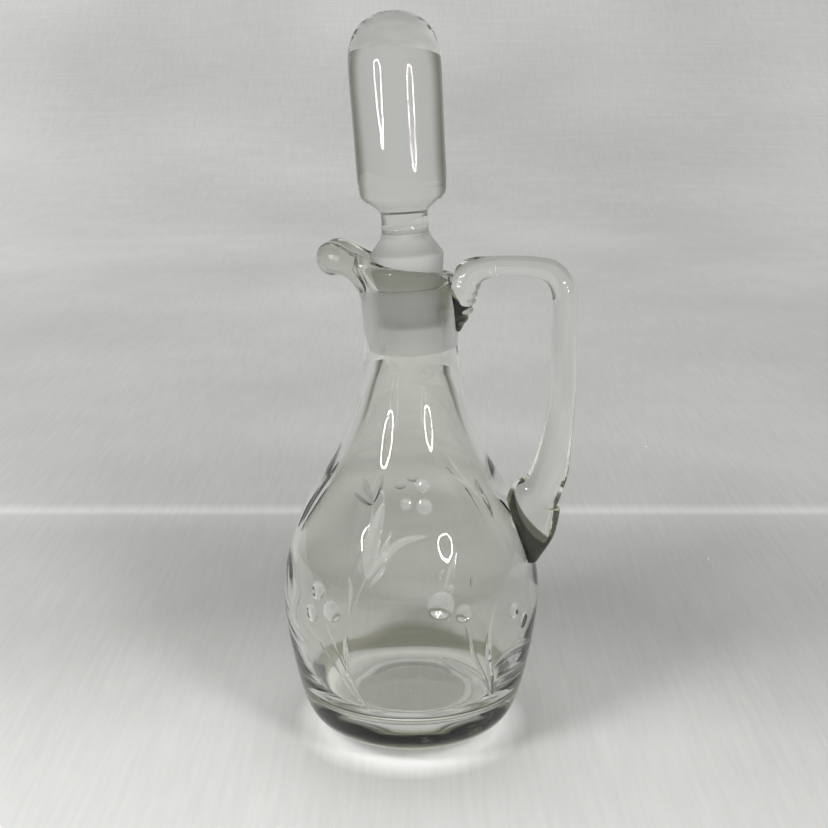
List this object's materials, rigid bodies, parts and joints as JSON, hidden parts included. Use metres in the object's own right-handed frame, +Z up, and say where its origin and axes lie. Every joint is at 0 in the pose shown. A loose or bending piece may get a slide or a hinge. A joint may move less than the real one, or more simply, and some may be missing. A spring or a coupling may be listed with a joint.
{
  "type": "wine decanter",
  "caption": "Handled glass wine decanter: pear-shaped blown body with a pulled pouring lip, an applied solid handle and a solid ground-glass stopper that lifts out.",
  "frame": {"origin": "centre of the foot, on the surface it stands on", "axes": "+Z up along the vessel's axis, +X towards the handle, -X towards the pouring lip"},
  "size_m": [0.1103, 0.0978, 0.2698],
  "materials": {
    "vessel_glass": "clear, polished, with a ground socket",
    "handle_glass": "clear, fire-polished",
    "stopper_glass": "clear, with a ground plug"
  },
  "bodies": {
    "decanter": {"vessel": "vessel_glass", "handle": "handle_glass"},
    "stopper_body": {"stopper": "stopper_glass"}
  },
  "joints": [
    {"name": "stopper_lift", "type": "slide", "parent": "decanter", "child": "stopper_body", "axis": [-0.0645, 0, 0.9979], "range_m": [0, 0.06]}
  ]
}
